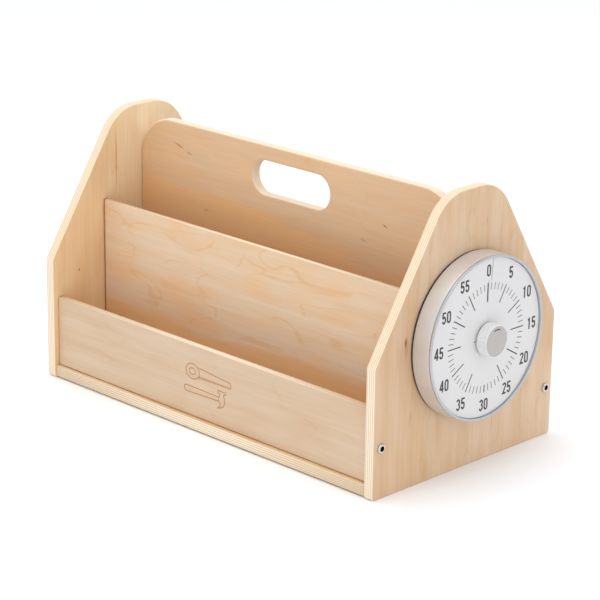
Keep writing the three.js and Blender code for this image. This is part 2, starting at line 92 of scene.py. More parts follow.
def plywood(name, node, thick, grain, face_ply, cross_ply, tones, figure=0.3, patches=0.4,
            knots=(), joints=(), heartwood_and_shade=(0, 0, 0)):
    """Sanded, clear-lacquered birch plywood: pale and satin, with fine streaks and striped edges.

    It is a solid pattern: plies lie across the thick axis, and their grain alternates. The share of
    end grain in a ply is how far the surface's normal points along that ply's grain.
    Tones are the face veneer's pale, tan and warm colours.
    Knots are (place along the grain, place across it, half length, half width, slope, darkness).
    Joint shades are painted shade in the gaps where boards meet: (axis, middle, half length, width,
    darkness).
    The heartwood and shade is a tanner stretch of veneer, which low on the dividers and the handle
    board is also painted warm shade: (edge across the grain, rise of that edge along it, strength).
    """
    material, add = new_material(name)
    low, high = span(node)
    deep, along = "XYZ".index(thick), "XYZ".index(grain)
    across = 3 - deep - along
    coord = add("TexCoord", out="Object")
    mm = add("VectorMath", {0: coord, 3: 1000}, operation="SCALE")
    place = add("SeparateXYZ", {0: mm}).node.outputs

    # Which ply a point is in, and how near it is to a glue line. Glue lines are drawn 0.25 mm wide,
    # about twice their real width, so that they show at arm's length.
    wave = add("TexNoise", {"Vector": mm, "Scale": 0.02, "Detail": 1})
    depth = add("Math", {0: wave, 1: 0.6, 2: -low[deep] - 0.3}, operation="MULTIPLY_ADD")
    depth = add("Math", {0: depth, 1: place[deep]}, operation="ADD")
    depth = add("Clamp", {0: depth, 1: 0.4, 2: high[deep] - low[deep] - 0.4})
    pair = face_ply + cross_ply
    turn = add("Math", {0: depth, 1: pair}, operation="MODULO")
    crossed = add("Math", {0: turn, 1: face_ply}, operation="GREATER_THAN")
    inner = add("Math", {0: turn, 1: face_ply}, operation="SUBTRACT")
    inner = add("Math", {0: inner}, operation="ABSOLUTE")
    outer = add("Math", {0: turn, 1: pair / 2}, operation="SUBTRACT")
    outer = add("Math", {0: outer}, operation="ABSOLUTE")
    outer = add("Math", {0: pair / 2, 1: outer}, operation="SUBTRACT")
    line = add("Math", {0: inner, 1: outer}, operation="MINIMUM")
    glue = add("MapRange", {"Value": line, "From Min": 0.06, "From Max": 0.2, "To Min": 1, "To Max": 0})

    # Grain: noise drawn out along each ply's own grain.
    def stretched(long_axis, width, length):
        scale = [1 / width] * 3
        scale[long_axis] = 1 / length
        return scale

    fine = add("Mix", {0: crossed, 4: stretched(along, 0.8, 26), 5: stretched(across, 0.8, 26)},
               out=1, data_type="VECTOR")
    fine = add("VectorMath", {0: mm, 1: fine}, operation="MULTIPLY")
    fibre = add("TexNoise", {"Vector": fine, "Scale": 1, "Detail": 3, "Roughness": 0.6})
    bundle = add("VectorMath", {0: mm, 1: stretched(along, 2.3, 60)}, operation="MULTIPLY")
    bundle = add("TexNoise", {"Vector": bundle, "Scale": 1, "Detail": 1})
    wide = add("VectorMath", {0: mm, 1: stretched(along, 13, 210)}, operation="MULTIPLY")
    streak = add("TexNoise", {"Vector": wide, "Scale": 1, "Detail": 3, "Roughness": 0.55})

    # Figure: contour lines of a slow noise, as where a rotary knife crosses the year rings.
    slow = add("VectorMath", {0: mm, 1: stretched(along, 40, 150)}, operation="MULTIPLY")
    hill = add("TexNoise", {"Vector": slow, "Scale": 1, "Detail": 2.5, "Roughness": 0.36,
                            "Distortion": 0.3})
    rise = add("Math", {0: place[across], 1: 0.012}, operation="MULTIPLY")
    rise = add("Math", {0: hill, 1: 11, 2: rise}, operation="MULTIPLY_ADD")
    ring = add("Math", {0: rise, 1: 1}, operation="PINGPONG")
    ring = add("MapRange", {"Value": ring, "From Min": 0, "From Max": 0.13, "To Min": figure,
                            "To Max": 0}, interpolation_type="SMOOTHSTEP")
    fading = add("MapRange", {"Value": streak, "From Min": 0.3, "From Max": 0.55})
    ring = add("Math", {0: ring, 1: fading}, operation="MULTIPLY")
    cloud = add("VectorMath", {0: mm, 1: stretched(along, 34, 80)}, operation="MULTIPLY")
    cloud = add("TexNoise", {"Vector": cloud, "Scale": 1, "Detail": 2})
    cloud = add("MapRange", {"Value": cloud, "From Min": 0.46, "From Max": 0.72, "To Min": 0,
                             "To Max": patches})

    pale, tan, warm = [colour(code) for code in tones]
    share = add("MapRange", {"Value": streak, "From Min": 0.3, "From Max": 0.75})
    wood = add("Mix", {0: share, 6: pale, 7: tan}, out=2, data_type="RGBA")
    wood = add("Mix", {0: cloud, 6: wood, 7: warm}, out=2, data_type="RGBA")
    ring_tone = [warm[0] * 0.86, warm[1] * 0.8, warm[2] * 0.64, 1]
    wood = add("Mix", {0: ring, 6: wood, 7: ring_tone}, out=2, data_type="RGBA")

    # Tan heartwood along one side of the veneer, behind an edge that wanders with the grain.
    # Low on the dividers and the handle board the same tan is also painted warm shade, deep in the box.
    level, climb, strength = heartwood_and_shade
    inside = add("Math", {0: place[along], 1: climb, 2: level}, operation="MULTIPLY_ADD")
    inside = add("Math", {0: hill, 1: 90, 2: inside}, operation="MULTIPLY_ADD")
    inside = add("Math", {0: inside, 1: place[across]}, operation="SUBTRACT")
    inside = add("MapRange", {"Value": inside, "From Min": 38, "From Max": 52, "To Min": 0,
                              "To Max": strength}, interpolation_type="SMOOTHSTEP")
    wood = add("Mix", {0: inside, 6: wood, 7: warm}, out=2, data_type="RGBA")

    # Sanded edges show bare pale plies. Between them the cross plies' end grain is darker, and
    # drinks more lacquer.
    facing = add("TexCoord", out="Normal")
    facing = add("VectorMath", {0: facing}, operation="ABSOLUTE")
    facing = add("SeparateXYZ", {0: facing}).node.outputs
    cut = add("Mix", {0: crossed, 2: facing[along], 3: facing[across]})
    cut = add("MapRange", {"Value": cut, "From Min": 0.25, "From Max": 0.85})
    edge = add("MapRange", {"Value": facing[deep], "From Min": 0.4, "From Max": 0.9, "To Min": 0.9,
                            "To Max": 0})
    wood = add("Mix", {0: edge, 6: wood, 7: colour("#faf1de")}, out=2, data_type="RGBA")
    drawn = add("Math", {0: cut, 1: edge}, operation="MULTIPLY")
    wood = add("Mix", {0: drawn, 6: wood, 7: colour("#ead0a8")}, out=2, data_type="RGBA")
    seam = add("Math", {0: glue, 1: edge}, operation="MULTIPLY")
    seam = add("Math", {0: seam, 1: 0.8}, operation="MULTIPLY")
    wood = add("Mix", {0: seam, 6: wood, 7: colour("#b98250")}, out=2, data_type="RGBA")

    # Small knots, red-brown, with a darker middle.
    for at, beside, half_long, half_wide, slope, dark in knots:
        u = add("Math", {0: place[along], 1: 1 / half_long, 2: -at / half_long},
                operation="MULTIPLY_ADD")
        v = add("Math", {0: place[along], 1: -slope, 2: slope * at - beside},
                operation="MULTIPLY_ADD")
        v = add("Math", {0: v, 1: place[across]}, operation="ADD")
        v = add("Math", {0: v, 1: 1 / half_wide}, operation="MULTIPLY")
        away = add("CombineXYZ", {0: u, 1: v})
        away = add("VectorMath", {0: away}, out="Value", operation="LENGTH")
        spot = add("MapRange", {"Value": away, "From Min": 0.3, "From Max": 1, "To Min": dark,
                                "To Max": 0})
        wood = add("Mix", {0: spot, 6: wood, 7: colour("#a04a20")}, out=2, data_type="RGBA")

    # Burnt-orange painted shade in the gaps along joints, where boards meet.
    for axis, middle, half, width, dark in joints:
        away = add("Math", {0: place["XYZ".index(axis)], 1: middle}, operation="SUBTRACT")
        away = add("Math", {0: away}, operation="ABSOLUTE")
        near = add("MapRange", {"Value": away, "From Min": half - width,
                                "From Max": half - 0.6 * width, "To Min": 0, "To Max": dark})
        wood = add("Mix", {0: near, 6: wood, 7: colour("#9c5c2c")}, out=2, data_type="RGBA")

    # A laser darkens what it engraves.
    carved = add("Attribute", out="Fac", attribute_name="carved")
    wood = add("Mix", {0: carved, 6: wood, 7: colour("#b98151")}, out=2, data_type="RGBA")

    # Fine fibres and wider bundles of them lighten and darken the wood by a few percent.
    tone = add("MapRange", {"Value": fibre, "From Min": 0.25, "From Max": 0.75, "To Min": 0.965,
                            "To Max": 1.025})
    band = add("MapRange", {"Value": bundle, "From Min": 0.3, "From Max": 0.7, "To Min": 0.97,
                            "To Max": 1.02})
    tone = add("Math", {0: tone, 1: band}, operation="MULTIPLY")
    even = add("Math", {0: edge, 1: 0.75}, operation="MULTIPLY")
    tone = add("Mix", {0: even, 2: tone, 3: 1})
    wood = add("VectorMath", {0: wood, 3: tone}, operation="SCALE")

    gloss = add("MapRange", {"Value": fibre, "From Min": 0.3, "From Max": 0.7, "To Min": 0.44,
                             "To Max": 0.58})
    gloss = add("Math", {0: cut, 1: 0.15, 2: gloss}, operation="MULTIPLY_ADD")
    height = add("Math", {0: glue, 1: -0.8, 2: fibre}, operation="MULTIPLY_ADD")
    relief = add("Bump", {"Height": height, "Strength": 0.5, "Distance": 0.00005})
    surface = add("BsdfPrincipled", {
        "Base Color": wood, "Roughness": gloss, "Normal": relief, "Specular IOR Level": 0.35,
    })
    add("OutputMaterial", {"Surface": surface})
    return material


def rounded(corners, step=5):
    """An anticlockwise outline through corners (x, y, radius), each rounded by an arc.

    An arc starts radius / tan(half the corner's angle) before the corner.
    """
    outline = []
    for i, (x, y, radius) in enumerate(corners):
        here = np.array([x, y])
        if not radius:
            outline.append(here)
            continue
        before = np.array(corners[i - 1][:2]) - here
        after = np.array(corners[(i + 1) % len(corners)][:2]) - here
        before, after = before / np.linalg.norm(before), after / np.linalg.norm(after)
        half = math.acos(before @ after) / 2
        middle = before + after
        centre = here + middle / np.linalg.norm(middle) * radius / math.sin(half)
        start = here + before * radius / math.tan(half) - centre
        angle = math.atan2(start[1], start[0])
        sweep = math.pi - 2 * half
        count = max(2, round(math.degrees(sweep) / step))
        for turn in np.linspace(angle, angle + sweep, count + 1):
            outline.append(centre + radius * np.array([math.cos(turn), math.sin(turn)]))
    return np.array(outline)


def board(axis, low, high, outline, holes=(), edge=1.2, window=None):
    """Points, faces and the number of flat faces of a board of that outline, with rounded edges.

    At each step of the quarter round the outline moves in by edge * (1 - sin) and the level by
    edge * (1 - cos). A corner moves along the sum of its two sides' normals / (1 + their dot
    product). A window is an opening left in the front face only.
    """
    steps = np.linspace(0, math.pi / 2, 5)
    moved, sunk = edge * (1 - np.sin(steps)), edge * (1 - np.cos(steps))
    levels = list(zip(moved, high - sunk)) + list(zip(moved[::-1], low + sunk[::-1]))
    points, quads, fronts, backs = [], [], [], []
    count = 0
    for loop in [outline, *holes]:
        size = len(loop)
        run = np.roll(loop, -1, 0) - loop
        run /= np.linalg.norm(run, axis=1)[:, None]
        left = np.column_stack([-run[:, 1], run[:, 0]])
        last = np.roll(left, 1, 0)
        mitre = (left + last) / (1 + (left * last).sum(1))[:, None]
        for inward, level in levels:
            points.append(np.column_stack([loop + mitre * inward, np.full(size, level)]))
        ids = count + np.arange(len(levels) * size).reshape(len(levels), size)
        beside = np.roll(ids, -1, 1)
        quads += np.stack([ids[:-1], ids[1:], beside[1:], beside[:-1]], 2).reshape(-1, 4).tolist()
        fronts.append(ids[0])
        backs.append(ids[-1])
        count += ids.size
    if window is not None:
        points.append(np.column_stack([window, np.full(len(window), high)]))
        fronts.append(count + np.arange(len(window)))
    points = np.vstack(points)
    caps = []
    for loops, flip in ((fronts, 1), (backs, -1)):
        ids = np.concatenate(loops)
        found = tessellate_polygon([[Vector((*points[i, :2], 0)) for i in loop] for loop in loops])
        caps += [ids[list(triangle)][::flip].tolist() for triangle in found]
    order = {"X": [2, 0, 1], "Y": [0, 2, 1], "Z": [0, 1, 2]}[axis]
    points = points[:, order]
    if axis == "Y":
        points[:, 1] *= -1
    return points, caps + quads, len(caps)


def show(name, body, slot, replaced, material, points, faces, flat=0, sharp=None, attribute=None):
    """Makes a piece from points in millimetres. The first `flat` faces are flat, the others smooth."""
    mesh = bpy.data.meshes.new(name)
    mesh.from_pydata((np.asarray(points) / 1000).tolist(), [], faces)
    smooth = np.ones(len(faces), bool)
    smooth[:flat] = False
    mesh.polygons.foreach_set("use_smooth", smooth)
    if attribute is not None:
        mesh.attributes.new("carved", "FLOAT", "POINT").data.foreach_set("value", attribute)
    work = bmesh.new()
    work.from_mesh(mesh)
    bmesh.ops.remove_doubles(work, verts=work.verts, dist=1e-7)
    bmesh.ops.recalc_face_normals(work, faces=work.faces)
    work.to_mesh(mesh)
    work.free()
    if sharp:
        mesh.set_sharp_from_angle(angle=math.radians(sharp))
    mesh.materials.append(material)
    piece = bpy.data.objects.new(name, mesh)
    bpy.context.scene.collection.objects.link(piece)
    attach(piece, body)
    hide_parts(*replaced)
    return piece


half_depth, shoulder, top, half_top = 139.5, 140, 300, 40
panel_outline = rounded([
    (-half_depth, 0, 4), (half_depth, 0, 4), (half_depth, shoulder, 8), (half_top, top, 50),
    (-half_top, top, 50), (-half_depth, shoulder, 8),
])
# The two end panels are the same plywood, yet the left one, seen from inside the box, is given paler
# tones than the right one: painted light on its shaded inner face.
panel_tones_with_painted_light = {
    "left_end_panel": ("#f5dcb6", "#f0cfa2", "#e6b985"),
    "right_end_panel": ("#e1c5a8", "#d6b38b", "#cea172"),
}
panel_knots = {
    "left_end_panel": ((240, -44, 48, 0.9, 0, 0.65), (121, -101, 2.4, 1.4, 0, 0.7)),
    "right_end_panel": (
        (158, -96, 6.5, 1.9, 0, 1), (152, -95, 16, 4.5, 0, 0.25), (76, -86, 10, 0.8, 0.03, 0.5),
        (38, 42, 14, 0.7, 0, 0.35), (262, 22, 8, 0.8, 0.05, 0.4)),
}
panel_hearts = {"left_end_panel": (-75, 0.1, 0.35), "right_end_panel": (-62, -0.06, 0.3)}
for node, knots in panel_knots.items():
    panel_low, panel_high = span(node)
    panel = board("X", panel_low[0], panel_high[0], panel_outline, edge=1.5)
    birch = plywood(node + " birch", node, "X", "Z", 1.6, 1.0, panel_tones_with_painted_light[node], figure=0.18,
                    patches=0.4, knots=knots, heartwood_and_shade=panel_hearts[node])
    show(node + "_ply", "caddy_body", "end_panel_birch", [node], birch, *panel)


# ---------------------------------------------------------------------------------------------
# Bottom board
# One 12 mm plywood board under all four bays. A tongue at each end is glued into an end panel.

low, high = span("bottom_board")
tongue, shoulder_left, shoulder_right = high[1] - 14, low[0] + 4.2, high[0] - 4.2
bottom_outline = np.array([
    (low[0], -tongue), (shoulder_left, -tongue), (shoulder_left, low[1]), (shoulder_right, low[1]),
    (shoulder_right, -tongue), (high[0], -tongue), (high[0], tongue), (shoulder_right, tongue),
    (shoulder_right, high[1]), (shoulder_left, high[1]), (shoulder_left, tongue), (low[0], tongue),
])
bottom_birch = plywood("bottom board birch", "bottom_board", "Z", "X", 1.6, 1.0,
                       ("#eed3ac", "#e4c294", "#daac78"), figure=0.15, patches=0.4)
show("bottom_board_ply", "caddy_body", "bottom_birch", ["bottom_board"], bottom_birch,
     *board("Z", low[2], high[2], bottom_outline, edge=0.8))


# ---------------------------------------------------------------------------------------------
# Handle board
# A 12 mm plywood board along the middle, full height, with a stadium-shaped slot for the hand.
# Its top corners are rounded, and two screws go into each of its ends.

def rectangle(low, high):
    """Anticlockwise outline of a board's front, from its CAD box: X along, Z up."""
    return np.array([(low[0], low[2]), (high[0], low[2]), (high[0], high[2]), (low[0], high[2])])


low, high = span("handle_board")
handle_outline = rounded([
    (low[0], low[2], 0.5), (high[0], low[2], 0.5), (high[0], high[2], 50), (low[0], high[2], 50),
])
middle_x = (low[0] + high[0]) / 2
slot_half, slot_foot, slot_top, slot_round = 58.5, 233.5, 271.5, 18.99
slot_outline = rounded([
    (middle_x - slot_half, slot_foot, slot_round), (middle_x + slot_half, slot_foot, slot_round),
    (middle_x + slot_half, slot_top, slot_round), (middle_x - slot_half, slot_top, slot_round),
], step=4)
# Painted shade darkens the handle board's ends where they meet the end panels, and its tan lower part
# is both heartwood and painted warm shade.
handle_birch = plywood(
    "handle board birch", "handle_board", "Y", "X", 1.6, 1.0,
    ("#dab894", "#d6ad82", "#e8b47c"), figure=0.25, patches=0.3,
    joints=[("X", middle_x, 241.8, 1.6, 0.5)],
    knots=((-195, 262, 9, 1.2, -0.3, 0.8), (-178, 256, 6, 1, -0.3, 0.7), (-150, 196, 4, 1.1, 0, 0.6),
           (92, 214, 6, 1, -0.25, 0.6), (122, 236, 4, 1.2, -0.4, 0.9), (150, 178, 3, 0.9, 0, 0.6)),
    heartwood_and_shade=(206, -0.09, 0.7))
show("handle_board_ply", "caddy_body", "handle_birch", ["handle_board"], handle_birch,
     *board("Y", -high[1], -low[1], handle_outline, [slot_outline[::-1]], edge=2.2))


# ---------------------------------------------------------------------------------------------
# Dividers
# Two 6 mm plywood boards, one each side of the handle board, let 3 mm into the end panels.

for side in ("front", "back"):
    node = side + "_divider"
    low, high = span(node)
    # Painted shade darkens each divider's ends in the gaps at the end panels, and painted warm shade
    # tans its lower part.
    divider_birch = plywood(
        node + " birch", node, "Y", "X", 1.35, 0.98, ("#e5cbaf", "#dfbd97", "#e8b67e"),
        figure=0.38, patches=0.6, heartwood_and_shade=(84, 0.05, 0.75),
        joints=[("X", (low[0] + high[0]) / 2, (high[0] - low[0]) / 2 - 3, 3.2, 0.85)])
    show(node + "_ply", "caddy_body", "divider_birch", [node], divider_birch,
         *board("Y", -high[1], -low[1], rectangle(low, high), edge=1.2))


# ---------------------------------------------------------------------------------------------
# Lips
# Two 9 mm plywood boards close the outer bays, each held by a screw through each end panel.
# A laser has engraved a saw and a hammer on the front one.

lip_tones = ("#d5bda1", "#cfb08e", "#caa075")
for side in ("front", "back"):
    node = side + "_lip"
    low, high = span(node)
    # Painted shade darkens each lip's ends and its foot, where it meets the end panels and the bottom
    # board.
    joints = [("X", (low[0] + high[0]) / 2, (high[0] - low[0]) / 2, 1.4, 0.45),
              ("Z", high[2], high[2] - low[2], 1.8, 0.6)]
    lip_birch = plywood(node + " birch", node, "Y", "X", 1.5, 1.0, lip_tones, figure=0.16, patches=0.3,
                        joints=joints)
    if side == "back":
        show(node + "_ply", "caddy_body", "lip_birch", [node], lip_birch,
             *board("Y", -high[1], -low[1], rectangle(low, high), edge=1.3))
        continue

    # Strokes of the engraving, as lines between corners measured from its middle.
    teeth = [(34 - 1.6 * i, 5.2 + (i % 2) * 1.8) for i in range(30)]
    turns = np.linspace(0, 2 * math.pi, 25)
    grip = [(-23.5 + 10.5 * math.cos(a), 10.5 + 8.5 * math.sin(a)) for a in turns]
    grip_hole = [(-24 + 5 * math.cos(a), 10.5 + 3.6 * math.sin(a)) for a in turns]
    strokes = [
        [(-14, 16.5), (35, 12), (36, 7.5), *teeth, (-14, 4.5)], grip, grip_hole,
        [(17, -12.6), (-33, -13.8), (-36, -12.8), (-36.6, -10.3), (-36, -7.8), (-33, -6.8), (17, -8)],
        [(18.6, -6.4), (18.6, -4), (15.6, -3.2), (15.6, -0.8), (27.6, -0.8), (27.6, -3.2),
         (24.8, -4), (24.8, -6.4), (26.4, -7.6), (26.4, -13), (24.6, -16.6), (21, -19.2),
         (15.4, -20.8), (19.4, -17.8), (19.6, -15), (17, -13), (17, -7.6), (18.6, -6.4)],
    ]
    emblem_x, emblem_z = (low[0] + high[0]) / 2 + 6, 55
    us = emblem_x + np.linspace(-39, 39, 261)
    vs = emblem_z + np.linspace(-21.6, 21.6, 145)
    u, v = np.meshgrid(us, vs)
    near = np.full(u.shape, 9.0)
    for stroke in strokes:
        for (u0, v0), (u1, v1) in zip(stroke, stroke[1:]):
            du, dv = u1 - u0, v1 - v0
            pu, pv = u - emblem_x - u0, v - emblem_z - v0
            t = np.clip((pu * du + pv * dv) / (du * du + dv * dv), 0, 1)
            near = np.minimum(near, np.hypot(pu - t * du, pv - t * dv))
    groove = np.clip((0.75 - near) / 0.45, 0, 1)
    groove = groove * groove * (3 - 2 * groove)
    rim = [(0, slice(0, -1)), (slice(0, -1), -1), (-1, slice(-1, 0, -1)), (slice(-1, 0, -1), 0)]
    window = np.vstack([np.column_stack([u[spot], v[spot]]) for spot in rim])
    points, faces, flat = board("Y", -high[1], -low[1], rectangle(low, high), edge=1.3,
                                window=window[::-1])
    grid = np.column_stack([u.ravel(), low[1] + 0.55 * groove.ravel(), v.ravel()])
    ids = len(points) + np.arange(u.size).reshape(u.shape)
    cells = np.stack([ids[:-1, :-1], ids[:-1, 1:], ids[1:, 1:], ids[1:, :-1]], 2).reshape(-1, 4)
    carved = np.concatenate([np.zeros(len(points)), groove.ravel()])
    show(node + "_ply", "caddy_body", "lip_birch", [node], lip_birch, np.vstack([points, grid]),
         faces + cells.tolist(), flat, attribute=carved)


# ---------------------------------------------------------------------------------------------
# Box screws
# Bright steel screws with a rounded head and a hexagon socket: one into each lip end and two
# into each end of the handle board. The two behind the timer sit in pockets.

def skin(rows, loop=False):
    """Faces of a surface through rows of points, each row closed on itself.

    With loop, the last row joins the first. Otherwise a row of equal points is a closed pole.
    """
    rows = np.asarray(rows)
    count, size = rows.shape[:2]
    ids = np.arange(count * size).reshape(count, size)
    if loop:
        ids = np.vstack([ids, ids[:1]])
    beside = np.roll(ids, -1, 1)
    faces = []
    for a, b, c, d in np.stack([ids[:-1], ids[1:], beside[1:], beside[:-1]], 2).reshape(-1, 4).tolist():
        if not loop and a < size:
            faces.append([a, b, c])
        elif not loop and b >= (count - 1) * size:
            faces.append([a, b, d])
        else:
            faces.append([a, b, c, d])
    return rows.reshape(-1, 3), faces


def metal(name, base, rough, scratch, brushed=(1, 1, 1)):
    """Bare metal: bright, with fine scratches, and painted near-black shade where `carved` is set.

    `brushed` draws the scratches out along one axis. Real scratches are finer; these are 0.4 mm apart.
    """
    material, add = new_material(name)
    coord = add("TexCoord", out="Object")
    fine = add("VectorMath", {0: coord, 1: [2600 * b for b in brushed]}, operation="MULTIPLY")
    marks = add("TexNoise", {"Vector": fine, "Scale": 1, "Detail": 4, "Roughness": 0.65})
    cloud = add("TexNoise", {"Vector": coord, "Scale": 260, "Detail": 2})
    wear = add("MapRange", {"Value": cloud, "From Min": 0.3, "From Max": 0.7, "To Min": 0.86,
                            "To Max": 1.06})
    tone = add("VectorMath", {0: colour(base)[:3], 3: wear}, operation="SCALE")
    # Painted shade: near black wherever `carved` is set, as in the screws' sockets.
    socket_shade = add("Attribute", out="Fac", attribute_name="carved")
    tone = add("Mix", {0: socket_shade, 6: tone, 7: colour("#1d1b1a")}, out=2, data_type="RGBA")
    gloss = add("MapRange", {"Value": marks, "From Min": 0.3, "From Max": 0.7,
                             "To Min": rough - 0.07, "To Max": rough + 0.08})
    relief = add("Bump", {"Height": marks, "Strength": scratch, "Distance": 0.00002})
    surface = add("BsdfPrincipled", {
        "Base Color": tone, "Metallic": 1, "Roughness": gloss, "Normal": relief,
    })
    add("OutputMaterial", {"Surface": surface})
    return material


def screw_rows(head, rise, shank, reach, socket, deep, facets=48):
    """Rows (distance along the axis, radii round it) from a screw's tip to the floor of its socket.

    A hexagon's radius is its half width across flats / cos(angle from the nearest flat's middle).
    The last three rows are the socket's walls and floor, which get painted near-black shade.
    """
    round_row = np.ones(facets)
    angles = np.linspace(0, 2 * math.pi, facets, endpoint=False)
    hexagon = socket / np.cos((angles + math.pi / 6) % (math.pi / 3) - math.pi / 6)
    core = 0.86 * shank * round_row
    rows = [(-reach, 0 * round_row), (-reach + 0.4, 0.35 * shank * round_row), (-reach + 4, core)]
    thread = np.arange(-reach + 4.5, -reach * 0.35, 0.5)
    rows += [(x, shank * (1 if i % 3 == 1 else 0.8) * round_row) for i, x in enumerate(thread)]
    rows += [(-reach * 0.33, core), (0, core)]
    rows += [(0, (head - 0.25) * round_row), (0.25, head * round_row), (rise * 0.4, head * round_row)]
    for turn in np.linspace(0.2, 1, 5) * math.pi / 2:
        out = rise * (0.4 + 0.6 * math.sin(turn))
        rows.append((out, (head - 1.1 + 1.1 * math.cos(turn)) * round_row))
    rows += [(rise, hexagon + 0.35), (rise - 0.25, hexagon), (rise - deep, hexagon),
             (rise - deep - 0.25, 0 * round_row)]
    return rows, angles


screw_steel = metal("bright zinc steel", "#d6d4d0", 0.24, 0.3)
head_rise = 2
for side, facing in (("left", -1), ("right", 1)):
    for which in ("lip_screw_front", "lip_screw_back", "handle_screw_lower", "handle_screw_upper"):
        node = f"{side}_{which}"
        low, high = span(node)
        middle = (low + high) / 2
        seat = (high[0] if facing > 0 else low[0]) - facing * head_rise
        rows, angles = screw_rows(5.1, head_rise, 2.6, 46, 2.6, 1.6)
        shape = [np.column_stack([
            np.full(len(angles), seat + facing * x), middle[1] + r * np.cos(angles),
            middle[2] + r * np.sin(angles),
        ]) for x, r in rows]
        # The socket's walls and floor are marked for painted near-black shade.
        shaded_socket = np.repeat(np.arange(len(shape)) >= len(shape) - 3, len(angles)).astype(float)
        show(node + "_steel", "caddy_body", "box_screw_steel", [node], screw_steel, *skin(shape),
             sharp=40, attribute=shaded_socket)


# ---------------------------------------------------------------------------------------------
# Timer housing and bezel
# The housing is a moulded ring of champagne-coloured plastic, slightly tapered to the front.
# A silver-grey bezel snaps into it and holds the dial. Four screws from inside the box hold both.

panel_face = span("right_end_panel")[1][0]
dial_z = 146.5


def ringed(profile, facets=256, change=None):
    """Rows round the dial's axis from a profile of (radius, distance out of the panel's face).

    A profile point stands at Y = radius * sin(angle) and Z = dial height + radius * cos(angle).
    """
    angles = np.linspace(0, 2 * math.pi, facets, endpoint=False)
    rows = []
    for radius, out in profile:
        radii, outs = np.full(facets, float(radius)), np.full(facets, float(out))
        if change:
            radii, outs = change(angles, radii, outs)
        rows.append(np.column_stack([
            panel_face + outs, radii * np.sin(angles), dial_z + radii * np.cos(angles)]))
    return rows


def plastic(name, base, rough, grain=0.25, sheen=0.0, metallic=0.0, shade=0.05):
    """Moulded plastic with a fine spark-eroded grain, and a slow drift in tone from handling."""
    material, add = new_material(name)
    coord = add("TexCoord", out="Object")
    pits = add("TexNoise", {"Vector": coord, "Scale": 2200, "Detail": 2})
    slow = add("TexNoise", {"Vector": coord, "Scale": 32, "Detail": 3})
    drift = add("MapRange", {"Value": slow, "From Min": 0.3, "From Max": 0.7, "To Min": 1 - shade,
                             "To Max": 1 + shade / 2})
    tone = add("VectorMath", {0: colour(base)[:3], 3: drift}, operation="SCALE")
    gloss = add("MapRange", {"Value": slow, "From Min": 0.3, "From Max": 0.7,
                             "To Min": rough - 0.05, "To Max": rough + 0.05})
    relief = add("Bump", {"Height": pits, "Strength": grain, "Distance": 0.00003})
    surface = add("BsdfPrincipled", {
        "Base Color": tone, "Roughness": gloss, "Normal": relief, "Metallic": metallic,
        "Coat Weight": sheen, "Coat Roughness": 0.2,
    })
    add("OutputMaterial", {"Surface": surface})
    return material


def arc(radius, out, size, start, stop, count=5):
    """Profile points on a quarter round: middle (radius, out), from one angle to another in degrees."""
    return [(radius + size * math.cos(a), out + size * math.sin(a))
            for a in np.radians(np.linspace(start, stop, count))]


# Metallic-flake ABS: a warm grey that lightens where it faces the light.
champagne = plastic("champagne shell", "#d9d4cf", 0.36, grain=0.15, metallic=0.45)
housing_profile = [
    (85.2, 2.4), *arc(87.7, 3.0, 0.6, -90, 0),
    *[(88.3 - 0.04 * i, 3.6 + 0.85 * i) for i in range(1, 22)],
    *arc(86.8, 22.3, 0.6, 0, 90), (85.2, 22.9), (85.2, 12),
]
show("timer_housing_shell", "caddy_body", "champagne_shell", ["timer_housing"], champagne,
     *skin(ringed(housing_profile), loop=True), sharp=40)


def notched(angles, radii, outs):
    """A small notch at the bezel's outer edge, in its lower right, marks how the bezel is turned."""
    away = np.abs(angles - math.radians(148)) * 86
    outs = np.where((away < 0.9) & (radii > 86) & (outs > 24), outs - 0.9, outs)
    return radii, outs


# Silver-sprayed ABS, smooth enough for soft highlights along its round edge.
silver = plastic("silver bezel", "#bcbcbe", 0.28, grain=0.1, metallic=0.8)
bezel_profile = [
    (84.4, 19.4), (84.9, 19.4), (84.9, 23.2), (87.1, 23.2), *arc(86.9, 23.7, 0.5, -60, 0, 3),
    *arc(86.6, 24.6, 0.8, 0, 90, 7), (86.3, 25.4), (85.6, 25.4), *arc(85.2, 24.6, 0.8, 90, 180, 7),
    (84.4, 22),
]
show("timer_bezel_ring", "caddy_body", "silver_bezel", ["timer_bezel"], silver,
     *skin(ringed(bezel_profile, 1080, notched), loop=True), sharp=40)


# ---------------------------------------------------------------------------------------------
# Dial and time disc
# The dial is a white plastic sheet that climbs 0.8 mm in a turn, so that its two ends form a slit.
# The time disc, a purple sheet of the same pitch, winds out through that slit with the knob.

rise_per_turn, sheet, slit_radius = 0.8, 0.15, 60.6
dial_start, disc_start = 22.4, 22.0
outer_delay = 4


